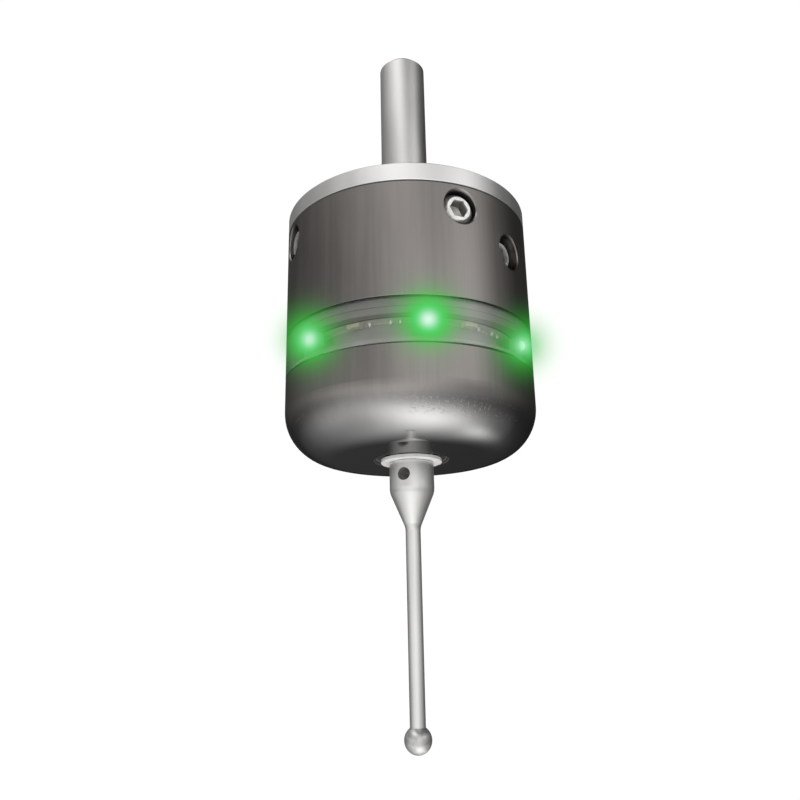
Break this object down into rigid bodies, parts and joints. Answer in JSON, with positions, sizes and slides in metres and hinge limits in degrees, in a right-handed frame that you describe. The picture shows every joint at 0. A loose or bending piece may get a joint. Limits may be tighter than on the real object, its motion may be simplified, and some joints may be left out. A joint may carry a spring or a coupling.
{
  "type": "edge finder",
  "caption": "Round spindle-held edge finder: slim shank, dark body with a clear lit band, and a sprung ball stylus on a kinematic tripod that tilts and lifts on touch.",
  "frame": {"origin": "on the axis where the shank stands on the flange's top face", "axes": "+Z along the shank, away from the stylus; the picture looks along +Y"},
  "size_m": [0.03, 0.03, 0.0874],
  "materials": {
    "bright_steel": "fine turned",
    "grey_anodised": "satin dark anodised",
    "clear_band": "clear polished",
    "screw_steel": "zinc plated",
    "carrier_black": "machined acetal",
    "cell_steel": "nickel plated can",
    "contact_brass": "bright",
    "board_pale": "pale solder mask",
    "lamp_green": "lit green lamp",
    "chip_ceramic": "ceramic with tinned ends",
    "chip_black": "moulded",
    "ball_steel": "polished hardened steel",
    "spring_steel": "drawn wire",
    "stylus_steel": "fine turned",
    "washer_white": "smooth white"
  },
  "bodies": {
    "housing": {"shank_flange": "bright_steel", "upper_body": "grey_anodised", "lower_body": "grey_anodised", "light_ring": "clear_band", "flange_screws": "screw_steel", "lock_screw": "screw_steel", "assembly_screws": "screw_steel", "carrier": "carrier_black", "coin_cell": "cell_steel", "battery_spring": "contact_brass", "battery_contact": "contact_brass", "circuit_board": "board_pale", "led_1": "lamp_green", "led_2": "lamp_green", "led_3": "lamp_green", "led_4": "lamp_green", "led_5": "lamp_green", "led_6": "lamp_green", "chip_resistor_1": "chip_ceramic", "chip_resistor_2": "chip_ceramic", "chip_resistor_3": "chip_ceramic", "chip_resistor_4": "chip_ceramic", "chip_resistor_5": "chip_ceramic", "chip_resistor_6": "chip_ceramic", "driver_chip": "chip_black", "contact_ball_1": "ball_steel", "contact_ball_2": "ball_steel", "contact_ball_3": "ball_steel", "contact_ball_4": "ball_steel", "contact_ball_5": "ball_steel", "contact_ball_6": "ball_steel"},
    "spring": {"return_spring": "spring_steel"},
    "seat": {"spring_seat": "contact_brass"},
    "stylus": {"stylus_holder": "stylus_steel", "dust_washer": "washer_white", "stylus_stem": "stylus_steel", "stylus_ball": "ball_steel", "tripod_rod_1": "ball_steel", "tripod_rod_2": "ball_steel", "tripod_rod_3": "ball_steel"}
  },
  "joints": [
    {"name": "stylus_lift", "type": "slide", "parent": "housing", "child": "spring", "axis": [0, 0, 1], "range_m": [0, 0.002], "stiffness_N_per_m": 400, "springref_m": -0.004, "deforming": ["return_spring"]},
    {"name": "stylus_tilt_side", "type": "hinge", "parent": "spring", "child": "seat", "pos_m": [0.0071, 0, -0.01506], "axis": [0, 1, 0], "range_deg": [0, 1.2], "stiffness_Nm_per_rad": 0.02, "springref_deg": -17.19},
    {"name": "stylus_tilt_front", "type": "hinge", "parent": "seat", "child": "stylus", "pos_m": [0, -0.0041, -0.01506], "axis": [1, 0, 0], "range_deg": [0, 1.2], "stiffness_Nm_per_rad": 0.02, "springref_deg": -17.19}
  ]
}
